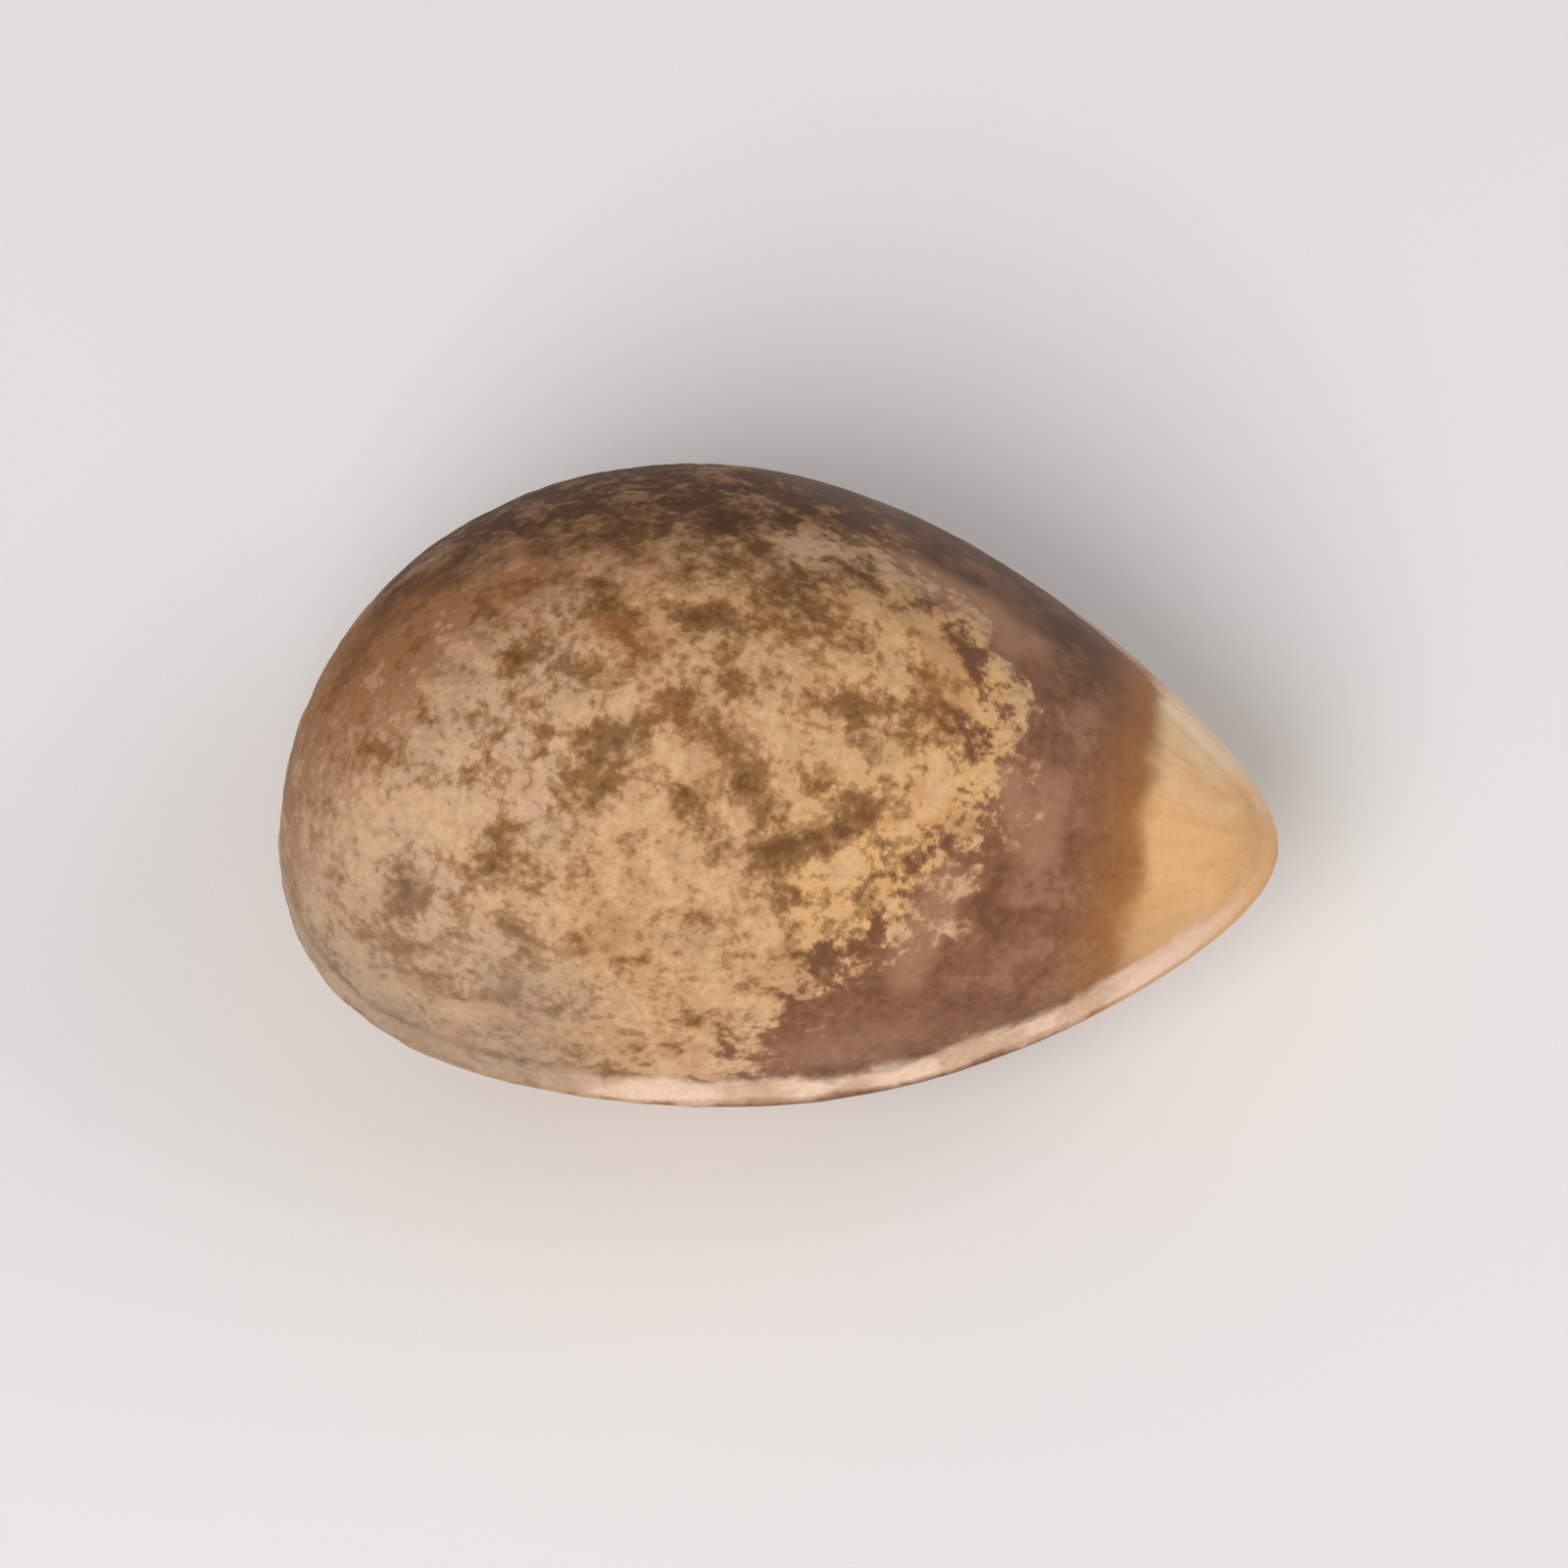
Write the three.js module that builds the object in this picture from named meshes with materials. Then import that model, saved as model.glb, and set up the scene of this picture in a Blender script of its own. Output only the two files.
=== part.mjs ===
// A pinyon nut in its shell, lying on its flatter face: one closed body, blunt at one end, pointed
// at the other, with a thin keel where the two faces of the shell meet.
// Millimetres. +X runs to the point, +Z up, origin on the surface under the middle of the nut.

import * as THREE from 'three';
import { mergeVertices } from 'three/addons/utils/BufferGeometryUtils.js';

// Driving dimensions
const nutLength = 14.3; // blunt end to point
const nutWidth = 9.8; // across the keel
const nutHeight = 8.6; // resting flat to the top of the upper face
const keelHeight = 3.8; // keel above the surface
const flatDepth = 0.25; // how far the flat takes off the round underside

// Girth on top of a plain ellipse, as a share, where along the nut runs from -1, blunt, to 1, pointed
const girthSlope = -0.24;
const girthCurve = -0.06;
const girthPoint = -0.12;

// Section: how much the two faces pull in toward the edge where they meet
const lensBlunt = 0.03;
const lensPoint = 0.12;

// Keel: a thin raised rib, faint at the blunt end
const keelRise = 0.13;
const keelReach = 0.4; // how far from its crest it dies away
const keelFaint = 0.3; // share of its rise that is left at the blunt end
const keelFadeFrom = -0.9;
const keelFadeTo = -0.1;

// The blunt end sags to one side, and the point dips and leans to the other
const bluntLean = 1.0;
const pointDip = 0.35;
const pointLean = 0.3;

// Broad shallow dents and swells: where on a unit ball, how far they reach on it, how deep as a share
const dents = [
  { at: [0.25, -0.5, 0.83], reach: 0.8, depth: 0.022 },
  { at: [-0.5, 0.62, 0.6], reach: 0.95, depth: 0.028 },
  { at: [-0.1, 0.1, 1], reach: 0.75, depth: -0.014 },
  { at: [0.62, 0.45, 0.64], reach: 0.7, depth: 0.026 },
  { at: [-0.72, -0.5, 0.48], reach: 0.75, depth: -0.012 },
  { at: [0.45, -0.6, -0.66], reach: 0.85, depth: 0.03 },
  { at: [-0.55, 0.4, -0.73], reach: 0.85, depth: 0.026 },
];

// The box that is blown up into the nut runs from -1 to 1, and its rows of cells gather at the keel
const boxSide = 2;
const cells = { along: 26, across: 20, up: 20 };
const keelGather = 1.5;
const tiny = 1e-6; // keeps a division clear of nothing at the poles

// A point of the box on the unit ball, with the cells spread evenly over it
function ballPoint(box) {
  const gathered = Math.sign(box.z) * Math.abs(box.z) ** keelGather;
  const even = [box.x, box.y, gathered].map((value) => Math.tan((value * Math.PI) / 4));
  return new THREE.Vector3(...even).normalize();
}

// The same point on the round shell, measured from the middle of the keel
function shellPoint(ball) {
  const along = ball.x;
  const ring = Math.max(Math.hypot(ball.y, ball.z), tiny);
  const girth = 1 + along * (girthSlope + along * (girthCurve + along * girthPoint));
  const lens = THREE.MathUtils.mapLinear(along, -1, 1, lensBlunt, lensPoint);
  const depth = ball.z > 0 ? nutHeight - keelHeight : keelHeight + flatDepth;
  const point = new THREE.Vector3(
    (nutLength / 2) * along,
    (nutWidth / 2) * ball.y * girth * (1 - (lens * Math.abs(ball.z)) / ring),
    depth * ball.z * girth,
  );
  point.multiplyScalar(1 - dentShare(ball));
  const outward = Math.max(Math.hypot(point.x, point.y), tiny);
  const ridge = 1 + keelRidge(along, point.z) / outward;
  const behind = Math.min(along, 0);
  const ahead = Math.max(along, 0);
  point.x *= ridge;
  point.y = point.y * ridge - bluntLean * behind ** 2 + pointLean * ahead ** 3;
  point.z -= pointDip * ahead ** 2;
  return point;
}

function dentShare(ball) {
  let share = 0;
  for (const dent of dents) {
    const away = ball.distanceTo(new THREE.Vector3(...dent.at).normalize());
    share += dent.depth * (1 - THREE.MathUtils.smoothstep(away, 0, dent.reach));
  }
  return share;
}

function keelRidge(along, height) {
  const grown = THREE.MathUtils.smoothstep(along, keelFadeFrom, keelFadeTo);
  const rise = keelRise * THREE.MathUtils.lerp(keelFaint, 1, grown);
  return rise * (1 - THREE.MathUtils.smoothstep(Math.abs(height), 0, keelReach));
}

// The whole shell, flat where it rests and fitted to its length, width and height
function nutGeometry() {
  const box = new THREE.BoxGeometry(boxSide, boxSide, boxSide, cells.along, cells.across, cells.up);
  box.deleteAttribute('normal');
  box.deleteAttribute('uv');
  const shell = mergeVertices(box);
  const positions = shell.getAttribute('position');
  const corner = new THREE.Vector3();
  for (let index = 0; index < positions.count; index += 1) {
    const point = shellPoint(ballPoint(corner.fromBufferAttribute(positions, index)));
    positions.setXYZ(index, point.x, point.y, Math.max(point.z, -keelHeight));
  }
  shell.computeBoundingBox();
  const { min, max } = shell.boundingBox;
  shell.translate(-(min.x + max.x) / 2, -(min.y + max.y) / 2, -min.z);
  shell.scale(nutLength / (max.x - min.x), nutWidth / (max.y - min.y), nutHeight / (max.z - min.z));
  shell.computeVertexNormals();
  return shell;
}

function nutShell() {
  const shell = new THREE.MeshStandardMaterial({ color: '#b98a5e', roughness: 0.55, metalness: 0 });
  const nut = new THREE.Mesh(nutGeometry(), shell);
  nut.name = 'pinyon_nut';
  return nut;
}

const part = new THREE.Group();
part.add(nutShell());

export default part;
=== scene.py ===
import math

import bpy
from mathutils import Euler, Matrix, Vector


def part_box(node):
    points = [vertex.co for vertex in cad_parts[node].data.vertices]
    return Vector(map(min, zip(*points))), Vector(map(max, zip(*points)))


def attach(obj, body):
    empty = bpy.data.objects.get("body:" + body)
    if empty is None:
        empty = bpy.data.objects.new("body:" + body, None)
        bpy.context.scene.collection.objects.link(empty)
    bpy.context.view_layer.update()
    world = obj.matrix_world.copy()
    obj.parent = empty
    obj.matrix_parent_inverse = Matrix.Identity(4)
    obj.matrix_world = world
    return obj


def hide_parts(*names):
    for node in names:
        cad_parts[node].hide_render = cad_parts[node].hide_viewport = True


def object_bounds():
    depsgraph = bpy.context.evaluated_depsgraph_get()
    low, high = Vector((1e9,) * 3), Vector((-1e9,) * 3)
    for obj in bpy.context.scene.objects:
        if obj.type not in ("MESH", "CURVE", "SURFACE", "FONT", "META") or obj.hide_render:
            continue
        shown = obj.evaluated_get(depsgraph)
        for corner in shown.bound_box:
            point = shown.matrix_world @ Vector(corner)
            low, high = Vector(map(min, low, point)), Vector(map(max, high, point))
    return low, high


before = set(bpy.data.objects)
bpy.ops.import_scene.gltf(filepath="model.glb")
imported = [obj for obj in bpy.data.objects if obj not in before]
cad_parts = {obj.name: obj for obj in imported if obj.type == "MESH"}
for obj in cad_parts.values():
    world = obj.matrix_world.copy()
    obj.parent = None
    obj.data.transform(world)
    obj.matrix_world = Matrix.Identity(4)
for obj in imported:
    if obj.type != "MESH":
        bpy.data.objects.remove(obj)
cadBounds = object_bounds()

mm = 0.001
noiseMean = 0.5


def addNode(tree, kind, inputs=(), **settings):
    node = tree.nodes.new(kind)
    for name, value in settings.items():
        setattr(node, name, value)
    pairs = inputs.items() if isinstance(inputs, dict) else enumerate(inputs)
    for key, value in pairs:
        if isinstance(value, bpy.types.Node):
            value = next(socket for socket in value.outputs if socket.enabled)
        if isinstance(value, bpy.types.NodeSocket):
            tree.links.new(value, node.inputs[key])
        elif value is not None:
            node.inputs[key].default_value = value
    return node


def colourOf(hexCode):  # sRGB hex to linear
    parts = [int(hexCode[start:start + 2], 16) / 255 for start in (1, 3, 5)]
    linear = [part / 12.92 if part <= 0.04045 else ((part + 0.055) / 1.055) ** 2.4 for part in parts]
    return (*linear, 1.0)


# The marks of the shell, in millimetres from the origin on the resting surface
skinMarks = {
    "wanderScale": 1.3,  # per mm, the slow drift that bends the marks
    "wanderReach": 0.7,
    "strokeBend": 0.4,  # how much of that drift the drawn strokes take
    "squiggleScale": 1.05,  # per mm, the lines that join the spots
    "squiggleShare": 0.13,
    "squiggleWidth": 0.08,
    "squiggleDark": 0.65,
    "squiggleLight": -0.35,
    "skinMean": 0.5,
    "farShare": 0.12,  # more old skin on the far side, which darkens it: partly real skin, partly painted shade
    "quietDrop": 0.07,  # and less where the random marks are faint
    "speckScale": 6.5,  # per mm, the specks that break up every edge
    "speckShare": 0.85,
    "speckRough": 0.6,
    "farFrom": 0.06,
    "farTo": 0.7,
    "farWobble": 3.5,
    "tipFrom": 5.27,  # x of the pale tip's edge on the middle line
    "tipCurve": 0.025,  # how fast that edge swings back to the sides
    "tipSoft": 0.32,
    "tipWobble": 0.7,
    "bandFrom": 3.0,  # x where the dark band begins on the middle line
    "bandCurveNear": 0.165,
    "bandCurveFar": 0.22,
    "bandSoft": 0.55,
    "bandRagged": 2.8,  # how far the specks break up its edge
    "bandWobble": 1.8,
    "keelRaise": 0.16,
    "keelUnder": 2.0,  # how much faster it fades below than above
    "keelFrom": 0.32,
    "keelTo": 0.8,
    "keelSkin": 0.5,  # how far the old skin narrows it, in patches
    "keelRagged": 0.16,
    "keelFaintest": 0.35,
    "keelFadeFrom": -3.6,
    "keelFadeTo": -1.5,
    "keelAtPoint": 0.25,
    "atPointFrom": 5.8,
    "atPointTo": 6.9,
    "endGirth": 0.6,  # least girth that counts at the two ends, so that the far side begins softly there
    "scarMiddle": (-0.9, -0.2, 0.0),  # the smooth patch under the nut, where it lay on its scale
    "scarReach": (4.7, 3.2, 2.2),
    "scarRagged": 0.3,
}
skinLayers = [  # old skin in patches and in spots, with scales per mm
    {"scale": 0.5, "share": 0.35, "detail": 1.0},
    {"scale": 1.75, "share": 0.75, "detail": 0.8},
]
quietPlaces = [  # where the random marks are faint: middle, reach, the least that is left of them
    ((-0.4, -1.0, 8.3), 2.6, 0.25),
    ((-1.6, -3.2, 6.9), 3.0, 0.5),
    ((-5.2, -2.2, 6.6), 2.8, 0.5),
]
darkStrokes = [  # the squiggles and spots that stand out: half width, strength, then their points
    (0.34, 0.22, [(-2.8, -1.9, 8.1), (-2.3, -1.4, 8.3)]),
    (0.36, 0.32, [(-2.2, -1.2, 8.4), (-1.9, -0.9, 8.5), (-1.4, -0.7, 8.5)]),
    (0.4, 0.34, [(-1.4, -0.7, 8.5), (-0.7, -0.9, 8.4), (-0.4, -1.3, 8.2)]),
    (0.44, 0.4, [(-0.4, -1.3, 8.2), (0.0, -1.7, 8.0)]),
    (0.46, 0.25, [(0.1, -2.3, 7.6), (0.5, -2.0, 7.6)]),
    (0.46, 0.29, [(0.5, -2.0, 7.6), (0.9, -1.8, 7.7), (1.3, -1.5, 7.7)]),
    (0.3, 0.28, [(0.4, -0.1, 8.4), (0.9, -0.2, 8.2), (1.4, -0.6, 8.0)]),
    (0.45, 0.32, [(-1.3, 0.7, 8.5), (-0.2, 0.8, 8.4)]),
    (0.45, 0.2, [(-4.3, -4.2, 5.4), (-3.8, -4.2, 5.5)]),
    (0.3, 0.28, [(0.7, -1.3, 8.0), (0.9, -1.3, 7.9)]),
    (0.3, 0.28, [(-1.1, -1.8, 8.1), (-0.6, -2.3, 7.7)]),
    (0.36, 0.28, [(-1.0, 0.8, 8.5), (-0.7, -0.2, 8.5)]),
    (0.28, 0.22, [(1.2, -0.1, 8.2), (2.1, 0.2, 7.8)]),
    (0.38, 0.25, [(-2.6, 0.8, 8.4), (-2.2, 0.4, 8.5)]),
    (0.36, 0.25, [(-0.2, 1.3, 8.3), (0.2, 1.1, 8.3)]),
    (0.42, 0.25, [(-3.9, 1.1, 7.8), (-3.4, 1.2, 8.0)]),
    (0.75, 0.42, [(-6.3, 0.1, 6.3), (-5.9, 0.8, 6.4), (-5.4, 1.3, 6.7)]),
    (0.36, 0.22, [(-2.4, 1.9, 7.9), (-2.2, 2.3, 7.7)]),
    (0.32, 0.34, [(2.8, 1.5, 7.0), (3.1, 1.4, 6.9)]),
    (0.32, 0.25, [(-3.8, -0.2, 8.2), (-3.5, 0.1, 8.3)]),
    (0.34, 0.2, [(2.2, 1.4, 7.5), (2.6, 0.9, 7.4)]),
    (0.5, 0.25, [(-4.9, -3.1, 6.7), (-4.8, -3.8, 5.9)]),
    (0.32, 0.17, [(-3.9, -2.8, 7.3), (-3.7, -2.5, 7.6)]),
    (0.4, 0.25, [(-5.7, -1.4, 7.1), (-5.5, -1.4, 7.2)]),
    (0.28, 0.25, [(-1.7, -3.8, 6.5), (-1.4, -3.7, 6.5)]),
    (0.28, 0.22, [(-0.8, -4.2, 5.7), (-0.6, -4.2, 5.6)]),
    (0.3, 0.25, [(-1.4, -4.5, 5.0), (-1.2, -4.6, 4.7)]),
    (0.28, 0.22, [(-3.3, -3.6, 6.7), (-3.1, -3.7, 6.6)]),
    (0.26, 0.22, [(-2.5, -3.6, 6.8), (-2.3, -3.7, 6.7)]),
    (0.5, 0.26, [(1.3, -3.2, 6.3), (1.3, -3.5, 5.9), (0.9, -3.8, 5.5)]),
    (0.4, 0.2, [(0.7, -3.7, 5.9), (1.1, -3.6, 5.9)]),
    (0.5, 0.3, [(1.4, -4.2, 4.1), (2.1, -4.0, 4.0)]),
]
paleStrokes = [  # and the places rubbed palest
    (0.36, 0.2, [(-1.4, -1.3, 8.4), (-1.0, -1.3, 8.3)]),
    (0.42, 0.22, [(-0.4, -3.7, 6.4), (-0.1, -3.9, 5.9)]),
    (0.4, 0.14, [(-0.9, -2.6, 7.5), (-0.5, -2.9, 7.3)]),
    (0.36, 0.12, [(-3.2, -4.0, 6.2), (-2.9, -4.1, 6.1)]),
    (0.38, 0.15, [(-2.2, -0.6, 8.5), (-1.9, -0.2, 8.6)]),
    (0.32, 0.15, [(0.1, -1.4, 8.1), (0.3, -1.7, 7.9)]),
    (0.32, 0.15, [(1.0, -1.0, 8.0), (1.3, -1.1, 7.9)]),
    (0.38, 0.18, [(1.5, 1.4, 7.8), (1.9, 1.0, 7.7)]),
    (0.45, 0.2, [(-0.2, 2.3, 7.7), (0.5, 2.3, 7.5)]),
    (0.45, 0.24, [(1.3, 2.1, 7.4), (2.0, 2.1, 7.1), (2.8, 1.9, 6.8)]),
    (0.42, 0.15, [(-1.4, -2.6, 7.6), (-1.2, -3.0, 7.3)]),
    (0.42, 0.15, [(-3.2, -3.2, 7.1), (-2.9, -3.4, 7.0)]),
    (0.4, 0.15, [(1.2, -2.1, 7.3), (1.7, -2.1, 7.2)]),
    (0.28, 0.1, [(-0.2, -0.5, 8.4), (0.1, -0.8, 8.3)]),
    (0.7, 0.16, [(-6.0, -2.2, 6.5), (-4.4, -2.4, 7.4)]),
    (0.5, 0.15, [(2.2, -0.5, 7.7), (2.4, -1.5, 7.2)]),
    (0.5, 0.15, [(-1.1, -4.6, 4.6), (0.1, -4.6, 4.5)]),
]
thinAndSheenStrokes = [  # pinker, thinner places in the dark band, and paler places along the far side that are partly painted sheen
    (0.5, 1.0, [(2.2, -3.1, 5.9), (2.4, -2.6, 6.4), (2.6, -2.0, 6.7)]),
    (0.5, 1.0, [(3.8, -1.2, 6.5), (3.9, -0.4, 6.8)]),
    (0.8, 0.5, [(0.9, -4.2, 4.9), (1.5, -4.0, 4.9), (2.2, -3.7, 4.9)]),
    (0.45, 1.0, [(3.3, -0.5, 7.1), (3.5, -0.9, 6.9)]),
    (0.5, 0.8, [(2.9, 1.6, 6.9), (3.3, 1.9, 6.4)]),
    (0.7, 0.8, [(-0.2, 2.3, 7.8), (0.7, 2.5, 7.4)]),
    (0.75, 1.0, [(0.7, 2.5, 7.4), (1.4, 2.4, 7.2), (2.1, 2.2, 7.0), (2.8, 2.0, 6.7)]),
]


def addStrokes(tree, place, strokes):  # full strength along the middle of each stroke, none at its edge
    total = 0.0
    for halfWidth, strength, points in strokes:
        for start, end in zip(points, points[1:]):
            run = Vector(end) - Vector(start)
            away = addNode(tree, "ShaderNodeVectorMath", [place, start], operation="SUBTRACT")
            share = run / run.length_squared
            share = addNode(tree, "ShaderNodeVectorMath", [away, share], operation="DOT_PRODUCT")
            share = addNode(tree, "ShaderNodeMath", [share, 0.0], operation="ADD", use_clamp=True)
            nearest = addNode(tree, "ShaderNodeVectorMath", {0: run, "Scale": share}, operation="SCALE")
            away = addNode(tree, "ShaderNodeVectorMath", [away, nearest], operation="DISTANCE")
            stroke = addNode(tree, "ShaderNodeMapRange", {
                "Value": away, "From Max": halfWidth, "To Min": strength, "To Max": 0.0})
            total = addNode(tree, "ShaderNodeMath", [stroke, total], operation="MAXIMUM")
    return total


def addPlaces(tree, place):  # where a point lies on the nut; place is in mm
    marks = skinMarks
    axes = addNode(tree, "ShaderNodeSeparateXYZ", [place])
    x, y, z = (axes.outputs[name] for name in "XYZ")
    wander = addNode(tree, "ShaderNodeTexNoise", {
        "Vector": place, "Scale": marks["wanderScale"], "Detail": 2.0})
    wander = addNode(tree, "ShaderNodeVectorMath", [wander.outputs["Color"], (noiseMean,) * 3],
                     operation="SUBTRACT")
    wander = addNode(tree, "ShaderNodeVectorMath", {0: wander, "Scale": marks["wanderReach"]},
                     operation="SCALE")
    drifted = addNode(tree, "ShaderNodeVectorMath", [place, wander], operation="ADD")

    # How far it lies to the far side, about -1 to 1 at any girth
    along = addNode(tree, "ShaderNodeMath", [x, nutForm["Length"] / 2], operation="DIVIDE")
    ring = addNode(tree, "ShaderNodeMath", [along, along], operation="MULTIPLY")
    ring = addNode(tree, "ShaderNodeMath", [1.0, ring], operation="SUBTRACT")
    ring = addNode(tree, "ShaderNodeMath", [ring, marks["endGirth"] ** 2], operation="MAXIMUM")
    ring = addNode(tree, "ShaderNodeMath", [ring], operation="SQRT")
    ring = addNode(tree, "ShaderNodeMath", [ring, nutForm["Width"] / 2], operation="MULTIPLY")
    farness = addNode(tree, "ShaderNodeSeparateXYZ", [wander])
    farness = addNode(tree, "ShaderNodeMath", [farness.outputs["Z"], marks["farWobble"], y],
                      operation="MULTIPLY_ADD")
    farness = addNode(tree, "ShaderNodeMath", [farness, ring], operation="DIVIDE")
    # farSide is full on the far side: there the colours darken the shell with painted shade, and the tip's
    # far edge gets a painted highlight
    farSide = addNode(tree, "ShaderNodeMapRange", {
        "Value": farness, "From Min": marks["farFrom"], "From Max": marks["farTo"]},
        interpolation_type="SMOOTHSTEP")
    return {"place": place, "x": x, "y": y, "z": z, "wander": wander, "drifted": drifted, "along": along,
            "farSide": farSide}


def addOldSkin(tree, spot):  # how much old skin is left: rubbed off under about 0.45, whole over 0.65
    marks = skinMarks
    line = addNode(tree, "ShaderNodeTexNoise", {
        "Vector": spot["drifted"], "Scale": marks["squiggleScale"], "Detail": 1.0})
    line = addNode(tree, "ShaderNodeMath", [line, noiseMean], operation="SUBTRACT")
    line = addNode(tree, "ShaderNodeMath", [line], operation="ABSOLUTE")
    line = addNode(tree, "ShaderNodeMapRange", {
        "Value": line, "From Max": marks["squiggleWidth"], "To Min": marks["squiggleDark"],
        "To Max": marks["squiggleLight"]}, interpolation_type="SMOOTHSTEP")
    skin = addNode(tree, "ShaderNodeMath", [line, marks["squiggleShare"]], operation="MULTIPLY")
    for layer in skinLayers:
        noise = addNode(tree, "ShaderNodeTexNoise", {
            "Vector": spot["drifted"], "Scale": layer["scale"], "Detail": layer["detail"]})
        noise = addNode(tree, "ShaderNodeMath", [noise, noiseMean], operation="SUBTRACT")
        skin = addNode(tree, "ShaderNodeMath", [noise, layer["share"], skin], operation="MULTIPLY_ADD")
    quiet = 1.0
    for middle, reach, least in quietPlaces:
        away = addNode(tree, "ShaderNodeVectorMath", [spot["place"], middle], operation="DISTANCE")
        loud = addNode(tree, "ShaderNodeMapRange", {"Value": away, "From Max": reach, "To Min": least},
                       interpolation_type="SMOOTHSTEP")
        quiet = addNode(tree, "ShaderNodeMath", [loud, quiet], operation="MINIMUM")
    skin = addNode(tree, "ShaderNodeMath", [skin, quiet, marks["skinMean"] - marks["quietDrop"]],
                   operation="MULTIPLY_ADD")
    skin = addNode(tree, "ShaderNodeMath", [quiet, marks["quietDrop"], skin], operation="MULTIPLY_ADD")
    skin = addNode(tree, "ShaderNodeMath", [spot["farSide"], marks["farShare"], skin],
                   operation="MULTIPLY_ADD")
    dark, pale = (addStrokes(tree, spot["bent"], strokes) for strokes in (darkStrokes, paleStrokes))
    skin = addNode(tree, "ShaderNodeMath", [skin, dark], operation="ADD")
    return addNode(tree, "ShaderNodeMath", [skin, pale], operation="SUBTRACT")


def addSkinMarks(tree, spot, oldSkin):  # the same rule for the relief and for the colours
    marks = skinMarks
    x, y, z, drifted = (spot[name] for name in ("x", "y", "z", "drifted"))
    specks = addNode(tree, "ShaderNodeTexNoise", {
        "Vector": spot["place"], "Scale": marks["speckScale"], "Detail": 3.0,
        "Roughness": marks["speckRough"]})
    specks = addNode(tree, "ShaderNodeMath", [specks, noiseMean], operation="SUBTRACT")
    skin = addNode(tree, "ShaderNodeMath", [specks, marks["speckShare"], oldSkin], operation="MULTIPLY_ADD")
    wobble = addNode(tree, "ShaderNodeSeparateXYZ", [spot["wander"]])

    # The pale tip and the dark band, both with edges that swing back along the sides
    sides = addNode(tree, "ShaderNodeMath", [y, y], operation="MULTIPLY")
    tipEdge = addNode(tree, "ShaderNodeMath", [sides, marks["tipCurve"], x], operation="MULTIPLY_ADD")
    tipEdge = addNode(tree, "ShaderNodeMath", [wobble.outputs["X"], marks["tipWobble"], tipEdge],
                      operation="MULTIPLY_ADD")
    tipEdge = addNode(tree, "ShaderNodeMath", [tipEdge, marks["tipFrom"]], operation="SUBTRACT")
    tip = addNode(tree, "ShaderNodeMapRange", {
        "Value": tipEdge, "From Min": -marks["tipSoft"], "From Max": marks["tipSoft"]},
        interpolation_type="SMOOTHSTEP")
    isNear = addNode(tree, "ShaderNodeMath", [y, 0.0], operation="LESS_THAN")
    bandCurve = addNode(tree, "ShaderNodeMapRange", {
        "Value": isNear, "To Min": marks["bandCurveFar"], "To Max": marks["bandCurveNear"]})
    bandEdge = addNode(tree, "ShaderNodeMath", [sides, bandCurve, x], operation="MULTIPLY_ADD")
    bandEdge = addNode(tree, "ShaderNodeMath", [wobble.outputs["Y"], marks["bandWobble"], bandEdge],
                       operation="MULTIPLY_ADD")
    ragged = addNode(tree, "ShaderNodeMath", [skin, marks["skinMean"]], operation="SUBTRACT")
    bandEdge = addNode(tree, "ShaderNodeMath", [ragged, marks["bandRagged"], bandEdge],
                       operation="MULTIPLY_ADD")
    bandEdge = addNode(tree, "ShaderNodeMath", [bandEdge, marks["bandFrom"]], operation="SUBTRACT")
    band = addNode(tree, "ShaderNodeMapRange", {
        "Value": bandEdge, "From Min": -marks["bandSoft"], "From Max": marks["bandSoft"]},
        interpolation_type="SMOOTHSTEP")

    # The keel dips with the point. Its pale line is faint at the blunt end and again at the very point
    ahead = addNode(tree, "ShaderNodeMath", [spot["along"], 0.0], operation="MAXIMUM")
    ahead = addNode(tree, "ShaderNodeMath", [ahead, ahead], operation="MULTIPLY")
    keelAt = addNode(tree, "ShaderNodeMath", [ahead, -nutForm["Point Dip"], nutForm["Rest Depth"]],
                     operation="MULTIPLY_ADD")
    above = addNode(tree, "ShaderNodeMath", [z, keelAt], operation="SUBTRACT")
    keel = addNode(tree, "ShaderNodeMath", [above, marks["keelRaise"]], operation="SUBTRACT")
    under = addNode(tree, "ShaderNodeMath", [keel, -marks["keelUnder"]], operation="MULTIPLY")
    keel = addNode(tree, "ShaderNodeMath", [keel, under], operation="MAXIMUM")
    keel = addNode(tree, "ShaderNodeMath", [oldSkin, marks["keelSkin"], keel], operation="MULTIPLY_ADD")
    keel = addNode(tree, "ShaderNodeMath", [specks, marks["keelRagged"], keel], operation="MULTIPLY_ADD")
    keel = addNode(tree, "ShaderNodeMapRange", {
        "Value": keel, "From Min": marks["keelFrom"], "From Max": marks["keelTo"], "To Min": 1.0,
        "To Max": 0.0}, interpolation_type="SMOOTHSTEP")
    keelShow = addNode(tree, "ShaderNodeMapRange", {
        "Value": x, "From Min": marks["keelFadeFrom"], "From Max": marks["keelFadeTo"],
        "To Min": marks["keelFaintest"]}, interpolation_type="SMOOTHSTEP")
    keel = addNode(tree, "ShaderNodeMath", [keel, keelShow], operation="MULTIPLY")
    atPoint = addNode(tree, "ShaderNodeMapRange", {
        "Value": x, "From Min": marks["atPointFrom"], "From Max": marks["atPointTo"], "To Min": 1.0,
        "To Max": marks["keelAtPoint"]})
    keel = addNode(tree, "ShaderNodeMath", [keel, atPoint], operation="MULTIPLY")

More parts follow.
